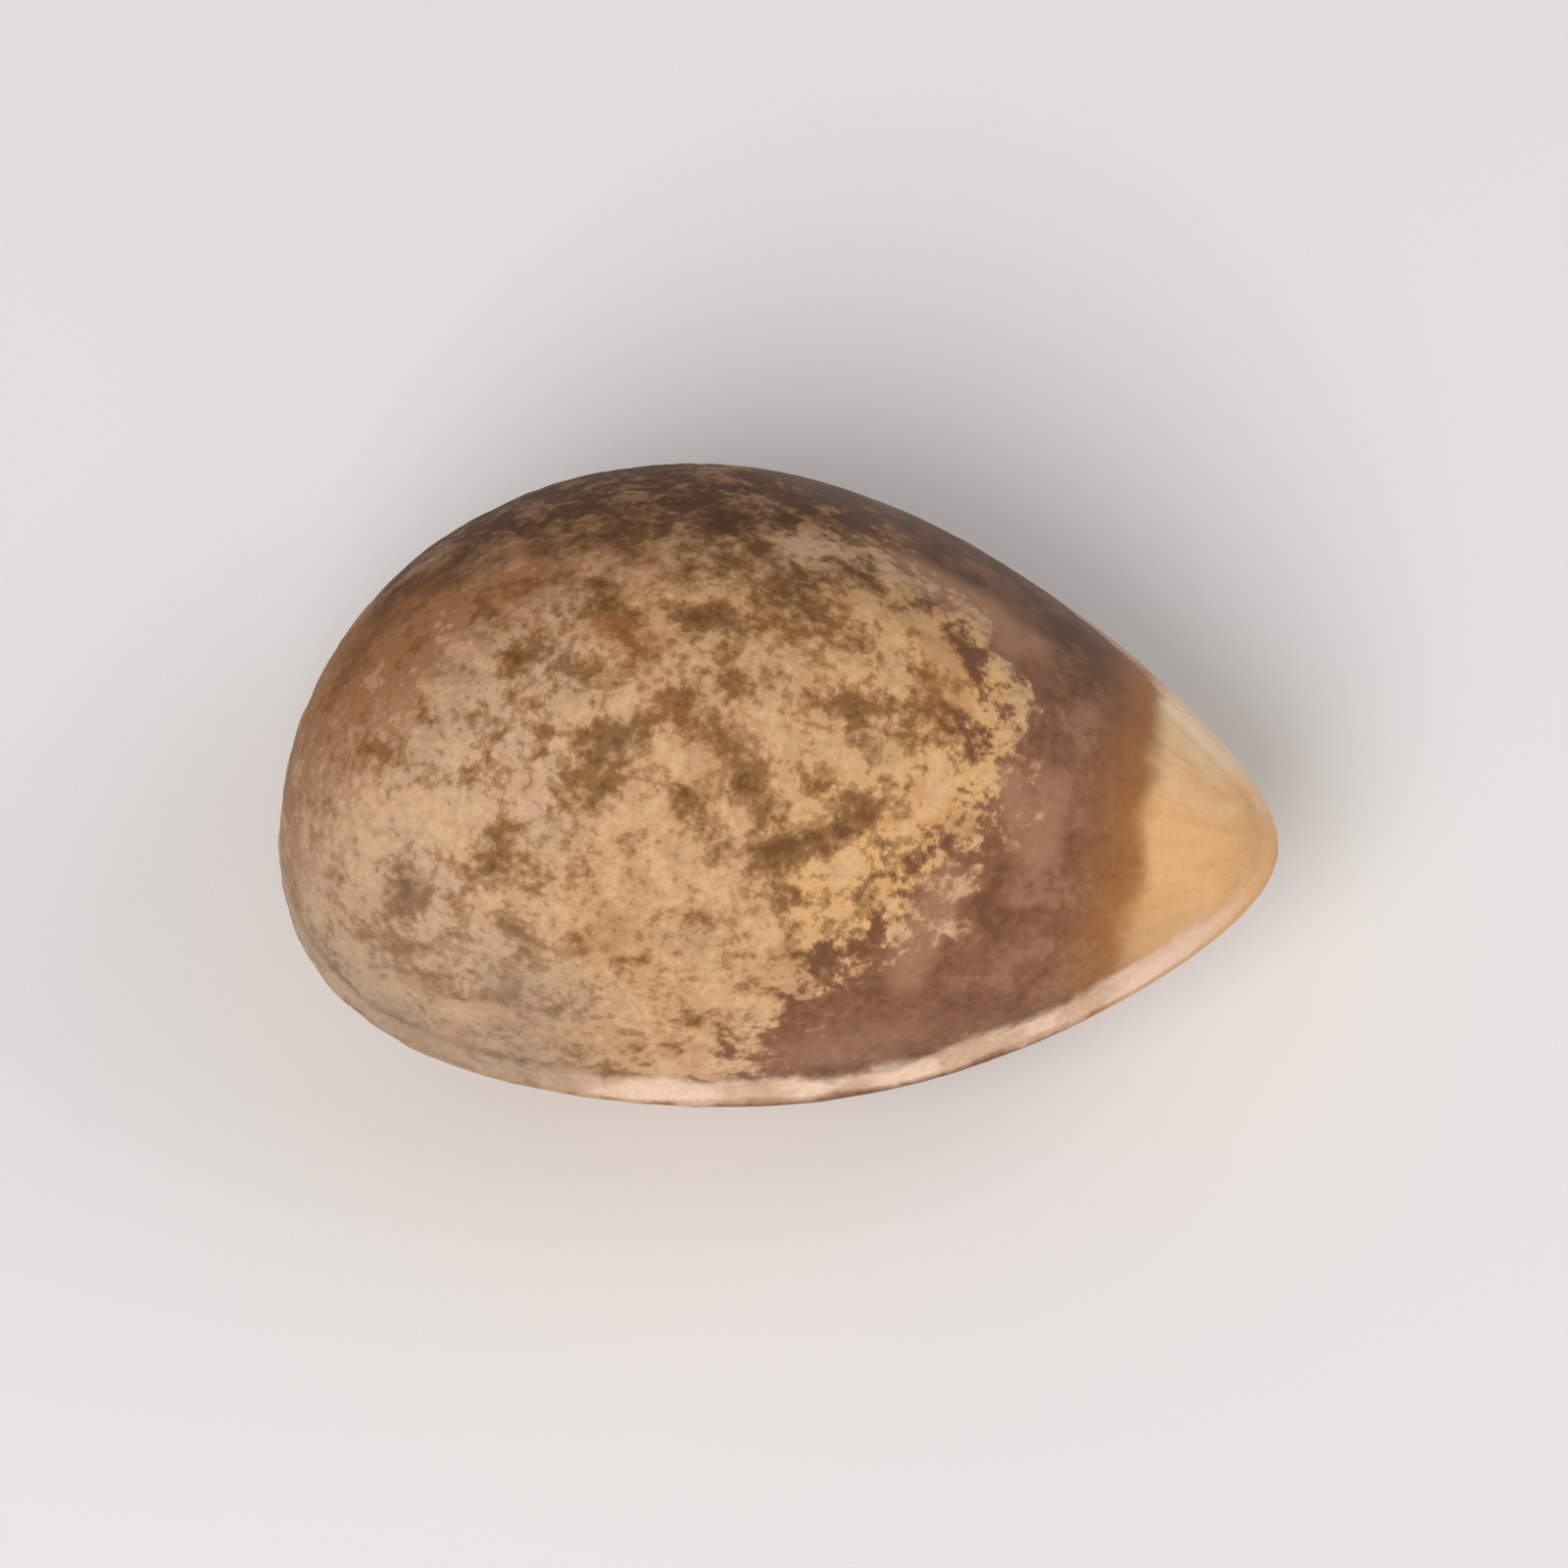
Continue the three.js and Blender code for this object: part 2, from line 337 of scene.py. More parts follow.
    # The smooth patch on the underside
    scar = addNode(tree, "ShaderNodeVectorMath", [drifted, marks["scarMiddle"]], operation="SUBTRACT")
    scar = addNode(tree, "ShaderNodeVectorMath", [scar, marks["scarReach"]], operation="DIVIDE")
    scar = addNode(tree, "ShaderNodeVectorMath", [scar], operation="LENGTH")
    scar = addNode(tree, "ShaderNodeMath", [ragged, marks["scarRagged"], scar], operation="MULTIPLY_ADD")
    return {**spot, "skin": skin, "tip": tip, "tipEdge": tipEdge, "band": band, "keel": keel,
            "above": above, "scar": scar}


# Form of the nut, in millimetres and shares, as the frame's solid has it, and its low relief
nutForm = {
    "Length": 14.3,
    "Width": 9.8,
    "Top Depth": 4.8,
    "Under Depth": 4.05,
    "Rest Depth": 3.8,
    "Girth Slope": -0.24,
    "Girth Curve": -0.06,
    "Girth Point": -0.12,
    "Lens Blunt": 0.03,
    "Lens Point": 0.12,
    "Keel Rise": 0.13,
    "Keel Reach": 0.4,
    "Keel Faint": 0.3,
    "Keel Fade From": -0.9,
    "Keel Fade To": -0.1,
    "Blunt Lean": 1.0,
    "Point Dip": 0.35,
    "Point Lean": 0.3,
    "Skin Relief": 0.075,
    "Grain Relief": 0.03,
    "Grain Scale": 2.6,
    "Band Relief": 0.4,
    "Tip Relief": 0.15,
    "Relief From": 0.04,
    "Relief To": 0.4,
}
nutCells = 128  # cells across each side of the box, 196,608 triangles in all
keelGather = 1.5  # over 1 draws the cells together at the keel
pointLeanPower = 3.0  # high, so that only the point leans
leastRing = 1e-6  # keeps a division at the two poles safe
deepBelow = -100.0  # mm, far below the nut, so that only its height is clamped
dents = [  # where on a unit ball, how far they reach on it, and how deep as a share; swells are under zero
    ((0.25, -0.5, 0.83), 0.8, 0.022),
    ((-0.5, 0.62, 0.6), 0.95, 0.028),
    ((-0.1, 0.1, 1.0), 0.75, -0.014),
    ((0.62, 0.45, 0.64), 0.7, 0.026),
    ((-0.72, -0.5, 0.48), 0.75, -0.012),
    ((0.45, -0.6, -0.66), 0.85, 0.03),
    ((-0.55, 0.4, -0.73), 0.85, 0.026),
]


def nutTree(material):
    tree = bpy.data.node_groups.new("nutShellTree", "GeometryNodeTree")
    for name in nutForm:
        tree.interface.new_socket(name, in_out="INPUT", socket_type="NodeSocketFloat")
    for name in ("Low Corner", "High Corner"):
        tree.interface.new_socket(name, in_out="INPUT", socket_type="NodeSocketVector")
    tree.interface.new_socket("Geometry", in_out="OUTPUT", socket_type="NodeSocketGeometry")
    form = addNode(tree, "NodeGroupInput").outputs

    # A box of even cells, gathered at the keel and blown up to a ball
    rows = nutCells + 1
    box = addNode(tree, "GeometryNodeMeshCube", [(2.0, 2.0, 2.0), rows, rows, rows])
    corner = addNode(tree, "ShaderNodeSeparateXYZ", [addNode(tree, "GeometryNodeInputPosition")])
    level = addNode(tree, "ShaderNodeMath", [corner.outputs["Z"]], operation="ABSOLUTE")
    level = addNode(tree, "ShaderNodeMath", [level, keelGather], operation="POWER")
    sign = addNode(tree, "ShaderNodeMath", [corner.outputs["Z"]], operation="SIGN")
    level = addNode(tree, "ShaderNodeMath", [level, sign], operation="MULTIPLY")
    ball = addNode(tree, "ShaderNodeCombineXYZ", [corner.outputs["X"], corner.outputs["Y"], level])
    ball = addNode(tree, "ShaderNodeVectorMath", {0: ball, "Scale": math.pi / 4}, operation="SCALE")
    ball = addNode(tree, "ShaderNodeVectorMath", [ball], operation="TANGENT")
    ball = addNode(tree, "ShaderNodeVectorMath", [ball], operation="NORMALIZE")
    split = addNode(tree, "ShaderNodeSeparateXYZ", [ball])
    along, side, rise = (split.outputs[name] for name in "XYZ")

    # Girth, and the pull of the two faces toward the edge where they meet
    girth = addNode(tree, "ShaderNodeMath", [along, form["Girth Point"], form["Girth Curve"]],
                    operation="MULTIPLY_ADD")
    girth = addNode(tree, "ShaderNodeMath", [along, girth, form["Girth Slope"]], operation="MULTIPLY_ADD")
    girth = addNode(tree, "ShaderNodeMath", [along, girth, 1.0], operation="MULTIPLY_ADD")
    ring = addNode(tree, "ShaderNodeVectorMath", [ball, (0.0, 1.0, 1.0)], operation="MULTIPLY")
    ring = addNode(tree, "ShaderNodeVectorMath", [ring], operation="LENGTH")
    ring = addNode(tree, "ShaderNodeMath", [ring, leastRing], operation="MAXIMUM")
    pull = addNode(tree, "ShaderNodeMath", [rise], operation="ABSOLUTE")
    pull = addNode(tree, "ShaderNodeMath", [pull, ring], operation="DIVIDE")
    lens = addNode(tree, "ShaderNodeMapRange", {
        "Value": along, "From Min": -1.0, "To Min": form["Lens Blunt"], "To Max": form["Lens Point"]})
    pull = addNode(tree, "ShaderNodeMath", [pull, lens], operation="MULTIPLY")
    pull = addNode(tree, "ShaderNodeMath", [1.0, pull], operation="SUBTRACT")
    isUpper = addNode(tree, "ShaderNodeMath", [rise, 0.0], operation="GREATER_THAN")
    depth = addNode(tree, "ShaderNodeMapRange", {
        "Value": isUpper, "To Min": form["Under Depth"], "To Max": form["Top Depth"]})
    halfLength = addNode(tree, "ShaderNodeMath", [form["Length"], 0.5], operation="MULTIPLY")
    halfWidth = addNode(tree, "ShaderNodeMath", [form["Width"], 0.5], operation="MULTIPLY")
    halfWidth = addNode(tree, "ShaderNodeMath", [halfWidth, girth], operation="MULTIPLY")
    halfWidth = addNode(tree, "ShaderNodeMath", [halfWidth, pull], operation="MULTIPLY")
    depth = addNode(tree, "ShaderNodeMath", [depth, girth], operation="MULTIPLY")
    point = addNode(tree, "ShaderNodeCombineXYZ", [halfLength, halfWidth, depth])
    point = addNode(tree, "ShaderNodeVectorMath", [point, ball], operation="MULTIPLY")

    # Broad dents and swells
    share = 1.0
    for place, reach, deep in dents:
        place = Vector(place).normalized()
        away = addNode(tree, "ShaderNodeVectorMath", [ball, place], operation="DISTANCE")
        dent = addNode(tree, "ShaderNodeMapRange", {
            "Value": away, "From Max": reach, "To Min": deep, "To Max": 0.0},
            interpolation_type="SMOOTHSTEP")
        share = addNode(tree, "ShaderNodeMath", [share, dent], operation="SUBTRACT")
    point = addNode(tree, "ShaderNodeVectorMath", {0: point, "Scale": share}, operation="SCALE")

    # Keel
    height = addNode(tree, "ShaderNodeSeparateXYZ", [point]).outputs["Z"]
    height = addNode(tree, "ShaderNodeMath", [height], operation="ABSOLUTE")
    ridge = addNode(tree, "ShaderNodeMapRange", {
        "Value": height, "From Max": form["Keel Reach"], "To Min": form["Keel Rise"], "To Max": 0.0},
        interpolation_type="SMOOTHSTEP")
    grown = addNode(tree, "ShaderNodeMapRange", {
        "Value": along, "From Min": form["Keel Fade From"], "From Max": form["Keel Fade To"],
        "To Min": form["Keel Faint"]}, interpolation_type="SMOOTHSTEP")
    ridge = addNode(tree, "ShaderNodeMath", [ridge, grown], operation="MULTIPLY")
    outward = addNode(tree, "ShaderNodeVectorMath", [point, (1.0, 1.0, 0.0)], operation="MULTIPLY")
    outward = addNode(tree, "ShaderNodeVectorMath", [outward], operation="NORMALIZE")
    outward = addNode(tree, "ShaderNodeVectorMath", {0: outward, "Scale": ridge}, operation="SCALE")
    point = addNode(tree, "ShaderNodeVectorMath", [point, outward], operation="ADD")

    # The blunt end sags to one side, and the point dips and leans to the other
    behind = addNode(tree, "ShaderNodeMath", [along, 0.0], operation="MINIMUM")
    behind = addNode(tree, "ShaderNodeMath", [behind, behind], operation="MULTIPLY")
    behind = addNode(tree, "ShaderNodeMath", [behind, form["Blunt Lean"]], operation="MULTIPLY")
    ahead = addNode(tree, "ShaderNodeMath", [along, 0.0], operation="MAXIMUM")
    lean = addNode(tree, "ShaderNodeMath", [ahead, pointLeanPower], operation="POWER")
    lean = addNode(tree, "ShaderNodeMath", [lean, form["Point Lean"]], operation="MULTIPLY")
    behind = addNode(tree, "ShaderNodeMath", [behind, lean], operation="SUBTRACT")
    ahead = addNode(tree, "ShaderNodeMath", [ahead, ahead], operation="MULTIPLY")
    ahead = addNode(tree, "ShaderNodeMath", [ahead, form["Point Dip"]], operation="MULTIPLY")
    sag = addNode(tree, "ShaderNodeCombineXYZ", [0.0, behind, ahead])
    point = addNode(tree, "ShaderNodeVectorMath", [point, sag], operation="SUBTRACT")

    # Flat where it rests, then fitted to the frame's box
    restLevel = addNode(tree, "ShaderNodeMath", [form["Rest Depth"], -1.0], operation="MULTIPLY")
    restLevel = addNode(tree, "ShaderNodeCombineXYZ", [deepBelow, deepBelow, restLevel])
    point = addNode(tree, "ShaderNodeVectorMath", [point, restLevel], operation="MAXIMUM")
    shell = addNode(tree, "GeometryNodeSetPosition", {"Geometry": box.outputs["Mesh"], "Position": point})
    reach = addNode(tree, "GeometryNodeBoundBox", {"Geometry": shell}).outputs
    fitted = addNode(tree, "ShaderNodeMapRange", {
        6: addNode(tree, "GeometryNodeInputPosition"), 7: reach["Min"], 8: reach["Max"],
        9: form["Low Corner"], 10: form["High Corner"]}, data_type="FLOAT_VECTOR")
    shell = addNode(tree, "GeometryNodeSetPosition", {
        "Geometry": shell, "Position": fitted.outputs["Vector"]})

    # Relief: the shell stands a little higher where it is rubbed bare, and the band and tip are smoother
    place = addNode(tree, "ShaderNodeVectorMath", {
        0: addNode(tree, "GeometryNodeInputPosition"), "Scale": 1 / mm}, operation="SCALE")
    spot = addPlaces(tree, place)
    bend = addNode(tree, "ShaderNodeVectorMath", {0: spot["wander"], "Scale": skinMarks["strokeBend"]},
                   operation="SCALE")
    spot["bent"] = addNode(tree, "ShaderNodeVectorMath", [place, bend], operation="ADD")
    oldSkin = addOldSkin(tree, spot)
    marks = addSkinMarks(tree, spot, oldSkin)
    thinAndSheenPlace = addStrokes(tree, spot["bent"], thinAndSheenStrokes)
    for name, value in (("oldSkin", oldSkin), ("thinAndSheenPlace", thinAndSheenPlace)):
        shell = addNode(tree, "GeometryNodeStoreNamedAttribute", {
            "Geometry": shell, "Name": name, "Value": value}, data_type="FLOAT", domain="POINT")
    lift = addNode(tree, "ShaderNodeMath", [skinMarks["skinMean"], oldSkin], operation="SUBTRACT")
    lift = addNode(tree, "ShaderNodeMath", [lift, form["Skin Relief"]], operation="MULTIPLY")
    grain = addNode(tree, "ShaderNodeTexNoise", {
        "Vector": place, "Scale": form["Grain Scale"], "Detail": 1.0})
    grain = addNode(tree, "ShaderNodeMath", [grain, noiseMean], operation="SUBTRACT")
    lift = addNode(tree, "ShaderNodeMath", [grain, form["Grain Relief"], lift], operation="MULTIPLY_ADD")
    smooth = addNode(tree, "ShaderNodeMapRange", {
        "Value": marks["band"], "To Min": 1.0, "To Max": form["Band Relief"]})
    smooth = addNode(tree, "ShaderNodeMapRange", {
        "Value": marks["tip"], "To Min": smooth, "To Max": form["Tip Relief"]})
    lift = addNode(tree, "ShaderNodeMath", [lift, smooth], operation="MULTIPLY")
    offFloor = addNode(tree, "ShaderNodeMapRange", {
        "Value": marks["z"], "From Min": form["Relief From"], "From Max": form["Relief To"],
        "To Max": mm}, interpolation_type="SMOOTHSTEP")
    lift = addNode(tree, "ShaderNodeMath", [lift, offFloor], operation="MULTIPLY")
    lift = addNode(tree, "ShaderNodeVectorMath", {
        0: addNode(tree, "GeometryNodeInputNormal"), "Scale": lift}, operation="SCALE")
    shell = addNode(tree, "GeometryNodeSetPosition", {"Geometry": shell, "Offset": lift})
    shell = addNode(tree, "GeometryNodeSetShadeSmooth", {"Geometry": shell})
    shell = addNode(tree, "GeometryNodeRealizeInstances", {"Geometry": shell})
    shell = addNode(tree, "GeometryNodeSetMaterial", {"Geometry": shell, "Material": material})
    addNode(tree, "NodeGroupOutput", {"Geometry": shell})
    return tree


# Woody seed coat, hard and dry: satin where it is rubbed bare, matt where scraps of old skin stay on it
shellLook = {
    "tan": "#cda073",
    "gold": "#e0ad73",
    # pale grey tan: partly dust, partly painted sheen
    "dustAndSheen": "#cda784",
    "russet": "#986337",
    "rust": "#a3622f",
    # grey and darker toward the near side of the blunt end: partly greyish bloom, partly painted shade
    "ashAndShade": "#a99179",
    # deeper still at that edge: painted shade
    "ashAndShadeDeep": "#86705c",
    "olive": "#94805e",
    "palest": "#e2b88c",
    "thinSkin": "#a6794d",
    "skin": "#83592e",
    "skinDark": "#67421f",
    "farSkinAndShade": "#48290f",
    "farThinAndShade": "#75502f",
    "farBarePaintedShade": "#9a6f46",
    "band": "#8a5c40",
    "bandDark": "#754a2e",
    "bandPale": "#a97c5d",
    "ember": "#a96d35",
    "tip": "#f1bd82",
    "tipGold": "#dca468",
    # cream of the tip's far edge: partly a pale crest, partly a painted highlight
    "tipCreamAndHighlight": "#fbe2bd",
    "tipShade": "#cf9d68",
    "tipLine": "#c98f54",
    "keel": "#f6d3b8",
    "keelDull": "#cfa582",
    "keelFarAndShade": "#8f6a4b",
    "keelSeam": "#a87853",
    # dark line just over the keel ridge: painted shade
    "groovePaintedShade": "#6f4529",
    "scar": "#a98068",
    "pore": "#4a2f1c",
    "roughSkin": 0.6,
    "roughBare": 0.44,
    "roughBand": 0.42,
    "roughGrain": 0.2,
    "roughFrom": 0.4,  # the old skin that is thin enough for satin, and thick enough for matt
    "roughTo": 0.65,
    "ior": 1.48,
    "gloss": 0.3,
    "grainScale": 9.0,  # per mm: wood cells of about 0.03 mm, drawn coarser so that they show
    "grainRough": 0.72,
    "grainShade": 0.7,
    "grainShadeTip": 0.35,
    "bumpDepth": 0.03,  # mm
    "bumpStrength": 0.8,
    "bumpSkin": 0.35,
}
shellDrifts = {  # slow changes over the shell, and its small features, in millimetres
    "cloudScale": 0.45,  # per mm
    "endReach": 6.0,  # how far the clouds move the colours of the two ends
    "farLeftReach": 4.0,
    "nearLeftReach": 3.6,
    "nearLeftWay": (-0.55, -1.0, 0.0),  # toward the near side of the blunt end
    "stainScale": 1.1,
    "linesFrom": (8.2, 0.35, 3.4),
    "lineScale": 14.0,
    "pore": (7.14, 0.33, 3.3),
    "crestWobble": 0.4,
    # how far over the keel crest the painted shade line lies, in mm
    "groovePaintedShadeAbove": 0.55,
    "underFrom": -1.0,  # the smooth patch starts this far under the keel
    "underTo": -1.6,
    "patchInside": 0.85,  # share of its reach where its colour is full
    "patchLine": 0.07,  # half width of the line round it, as a share of its reach
}
# Each stack lays colours over its first: the mark that says where, where it starts, where it is full,
# the most that it covers, and the colour or the stack that it lays
colourStacks = {
    # The far side's colours: partly darker old skin, partly painted shade over the whole far side
    "farCoatAndShade": ("farSkinAndShade", [
        ("skin", 0.7, 0.56, 0.6, "farThinAndShade"),
        ("skin", 0.56, 0.44, 0.7, "farBarePaintedShade"),
        ("bluntEnd", -8.0, -10.0, 0.55, "russet"),
    ]),
    "farBandAndShade": ("farSkinAndShade", [
        ("skin", 0.62, 0.42, 0.5, "farThinAndShade"),
        ("stain", 0.5, 0.68, 0.45, "band"),
    ]),
    # thin places on the far side: pale grey tan that is partly dust, partly painted sheen
    "thinCoatAndSheen": ("dustAndSheen", [
        ("skin", 0.4, 0.5, 0.5, "thinSkin"),
        ("skin", 0.52, 0.66, 0.8, "farThinAndShade"),
    ]),
    "body": ("tan", [
        ("goldEnd", 3.0, 5.2, 1.0, "gold"),
        # the blunt end paler and greyer: partly dust, partly painted sheen
        ("bluntEnd", -4.5, -7.5, 1.0, "dustAndSheen"),
        ("farLeft", -0.5, -4.5, 0.85, "russet"),
        ("skin", 0.43, 0.28, 0.65, "palest"),
        ("skin", 0.46, 0.55, 0.75, "thinSkin"),
        ("skin", 0.57, 0.69, 0.78, "skin"),
        ("skin", 0.7, 0.9, 0.8, "skinDark"),
        ("stain", 0.52, 0.7, 0.35, "rust"),
        ("stain", 0.45, 0.28, 0.25, "olive"),
        # the far side of the blunt end more rusty and darker: partly its own russet, partly painted shade
        ("farLeft", -1.0, -5.0, 0.4, "rust"),
        # the near side of the blunt end greyer and darker: partly bloom, partly painted shade
        ("nearLeft", 6.2, 9.0, 0.45, "ashAndShade"),
        # darker still at its edge: painted shade
        ("nearLeft", 7.4, 9.4, 0.4, "ashAndShadeDeep"),
        # the far side darkened: partly old skin, partly painted shade
        ("farSide", 0.0, 1.0, 0.85, "farCoatAndShade"),
        # thin places: pink streaks, and along the far side paler places that are partly painted sheen
        ("thinAndSheenPlace", 0.0, 0.8, 0.8, "thinCoatAndSheen"),
    ]),
    "smoothBand": ("band", [
        ("skin", 0.5, 0.25, 0.6, "bandPale"),
        ("skin", 0.5, 0.75, 0.9, "bandDark"),
        # the band's far side darkened: partly old skin, partly painted shade
        ("farSide", 0.0, 1.0, 0.75, "farBandAndShade"),
        ("thinAndSheenPlace", 0.0, 0.8, 0.85, "bandPale"),
    ]),
    "paleTip": ("tip", [
        ("tipEdge", 0.5, 1.9, 0.7, "tipGold"),
        ("y", -0.6, -2.0, 0.7, "tipShade"),
        # the tip's far edge creamier: partly a pale crest, partly a painted highlight
        ("farSide", -0.1, 1.0, 0.9, "tipCreamAndHighlight"),
        ("tipLines", 0.42, 0.8, 0.4, "tipLine"),
    ]),
    "paleKeel": ("keel", [
        ("stain", 0.45, 0.6, 0.7, "keelDull"),
        # the keel's pale line greyer and darker there too: partly bloom, partly painted shade
        ("nearLeft", 6.9, 8.4, 0.75, "ashAndShade"),
        # the keel's pale line darker on the far side: painted shade
        ("farSide", 0.2, 1.0, 0.6, "keelFarAndShade"),
        ("tip", 0.0, 1.0, 0.8, "keel"),
        ("crest", 0.09, 0.02, 0.4, "keelSeam"),
    ]),
    "underPatch": ("scar", [
        ("stain", 0.45, 0.65, 0.4, "thinSkin"),
        ("skin", 0.56, 0.75, 0.45, "skin"),
    ]),
    "whole": ("body", [
        ("band", 0.0, 1.0, 1.0, "smoothBand"),
        ("tipEdge", -1.1, -0.1, 0.85, "ember"),
        # a thin dark line just over the keel: painted shade
        ("overKeel", 0.2, 0.0, 0.3, "groovePaintedShade"),
        ("tip", 0.0, 1.0, 1.0, "paleTip"),
        ("keel", 0.0, 1.0, 1.0, "paleKeel"),
        ("pore", 0.2, 0.08, 0.6, "pore"),
        ("scarInside", 0.0, 1.0, 0.8, "underPatch"),
        ("scarRim", 0.0, 1.0, 0.3, "keelDull"),
    ]),
}


def nutShellMaterial():
    material = bpy.data.materials.new("rubbedPinyonShell")
    material.use_nodes = True
    tree = material.node_tree
    tree.nodes.clear()
    look = shellLook
    objectPlace = addNode(tree, "ShaderNodeTexCoord").outputs["Object"]
    place = addNode(tree, "ShaderNodeMapping", {"Vector": objectPlace, "Scale": (1 / mm,) * 3})
    oldSkin = addNode(tree, "ShaderNodeAttribute", attribute_name="oldSkin").outputs["Fac"]
    marks = addSkinMarks(tree, addPlaces(tree, place), oldSkin)

    # Slow drifts of hue: golden before the band, dust with painted sheen at the blunt end, russet
    # with some painted shade on its far side, and ash with painted shade on its near side
    drift = shellDrifts
    clouds = addNode(tree, "ShaderNodeTexNoise", {
        "Vector": place, "Scale": drift["cloudScale"], "Detail": 3.0})
    farLeft = addNode(tree, "ShaderNodeMath", [marks["x"], marks["y"]], operation="SUBTRACT")
    nearLeft = addNode(tree, "ShaderNodeVectorMath", [place, drift["nearLeftWay"]], operation="DOT_PRODUCT")
    for name, start, reach in (
            ("goldEnd", marks["x"], drift["endReach"]), ("bluntEnd", marks["x"], -drift["endReach"]),
            ("farLeft", farLeft, drift["farLeftReach"]), ("nearLeft", nearLeft, drift["nearLeftReach"])):
        marks[name] = addNode(tree, "ShaderNodeMath", [clouds, reach, start], operation="MULTIPLY_ADD")
    marks["thinAndSheenPlace"] = addNode(tree, "ShaderNodeAttribute", attribute_name="thinAndSheenPlace").outputs["Fac"]
    marks["stain"] = addNode(tree, "ShaderNodeTexNoise", {
        "Vector": place, "Scale": drift["stainScale"], "Detail": 4.0})

    # Fine lines that run out from the point, the pore in it and the painted shade line over the keel
    fromPoint = addNode(tree, "ShaderNodeVectorMath", [place, drift["linesFrom"]], operation="SUBTRACT")
    fromPoint = addNode(tree, "ShaderNodeVectorMath", [fromPoint], operation="NORMALIZE")
    marks["tipLines"] = addNode(tree, "ShaderNodeTexNoise", {
        "Vector": fromPoint, "Scale": drift["lineScale"], "Detail": 3.0})
    marks["pore"] = addNode(tree, "ShaderNodeVectorMath", [place, drift["pore"]], operation="DISTANCE")
    crest = addNode(tree, "ShaderNodeMath", [noiseMean, clouds], operation="SUBTRACT")
    crest = addNode(tree, "ShaderNodeMath", [crest, drift["crestWobble"], marks["above"]],
                    operation="MULTIPLY_ADD")
    marks["crest"] = addNode(tree, "ShaderNodeMath", [crest], operation="ABSOLUTE")
    overKeel = addNode(tree, "ShaderNodeMath", [marks["above"], drift["groovePaintedShadeAbove"]], operation="SUBTRACT")
    marks["overKeel"] = addNode(tree, "ShaderNodeMath", [overKeel], operation="ABSOLUTE")

    # The patch underneath: plain pinkish tan inside a pale line
    isUnder = addNode(tree, "ShaderNodeMapRange", {
        "Value": marks["above"], "From Min": drift["underTo"], "From Max": drift["underFrom"],
        "To Min": 1.0, "To Max": 0.0})
    fromRim = addNode(tree, "ShaderNodeMath", [marks["scar"], 1.0], operation="SUBTRACT")
    fromRim = addNode(tree, "ShaderNodeMath", [fromRim], operation="ABSOLUTE")
    for name, value, start, full in (
            ("scarInside", marks["scar"], 1.0, drift["patchInside"]),
            ("scarRim", fromRim, drift["patchLine"], 0.0)):
        share = addNode(tree, "ShaderNodeMapRange", {"Value": value, "From Min": start, "From Max": full})
        marks[name] = addNode(tree, "ShaderNodeMath", [share, isUnder], operation="MULTIPLY")

    colours = {name: colourOf(value) for name, value in look.items() if isinstance(value, str)}
    for stack, (first, layers) in colourStacks.items():
        colour = colours[first]
        for mark, start, full, most, over in layers:
            share = addNode(tree, "ShaderNodeMapRange", {
                "Value": marks[mark], "From Min": start, "From Max": full, "To Max": most},
                interpolation_type="SMOOTHSTEP")
            colour = addNode(tree, "ShaderNodeMix", {0: share, 6: colour, 7: colours[over]},
                             data_type="RGBA")
            colour = colour.outputs[2]
        colours[stack] = colour

    # Fine grain in the colour, the gloss and the bump
    grain = addNode(tree, "ShaderNodeTexNoise", {
        "Vector": place, "Scale": look["grainScale"], "Detail": 6.0, "Roughness": look["grainRough"]})
    strength = addNode(tree, "ShaderNodeMapRange", {
        "Value": marks["tip"], "To Min": look["grainShade"], "To Max": look["grainShadeTip"]})
    shade = addNode(tree, "ShaderNodeMath", [grain, noiseMean], operation="SUBTRACT")
    shade = addNode(tree, "ShaderNodeMath", [shade, strength, 1.0], operation="MULTIPLY_ADD")
    colour = addNode(tree, "ShaderNodeVectorMath", {0: colours["whole"], "Scale": shade}, operation="SCALE")
    rough = addNode(tree, "ShaderNodeMapRange", {
        "Value": marks["skin"], "From Min": look["roughFrom"], "From Max": look["roughTo"],
        "To Min": look["roughBare"], "To Max": look["roughSkin"]})
    rough = addNode(tree, "ShaderNodeMapRange", {
        "Value": marks["band"], "To Min": rough, "To Max": look["roughBand"]})
    rough = addNode(tree, "ShaderNodeMath", [grain, look["roughGrain"], rough], operation="MULTIPLY_ADD")
    height = addNode(tree, "ShaderNodeMath", [marks["skin"], look["bumpSkin"], grain],
                     operation="MULTIPLY_ADD")
    bump = addNode(tree, "ShaderNodeBump", {
        "Height": height, "Distance": look["bumpDepth"] * mm, "Strength": look["bumpStrength"]})
    shader = addNode(tree, "ShaderNodeBsdfPrincipled", {
        "Base Color": colour, "Roughness": rough, "Normal": bump, "IOR": look["ior"],
        "Specular IOR Level": look["gloss"]})
    addNode(tree, "ShaderNodeOutputMaterial", {"Surface": shader})
    return material


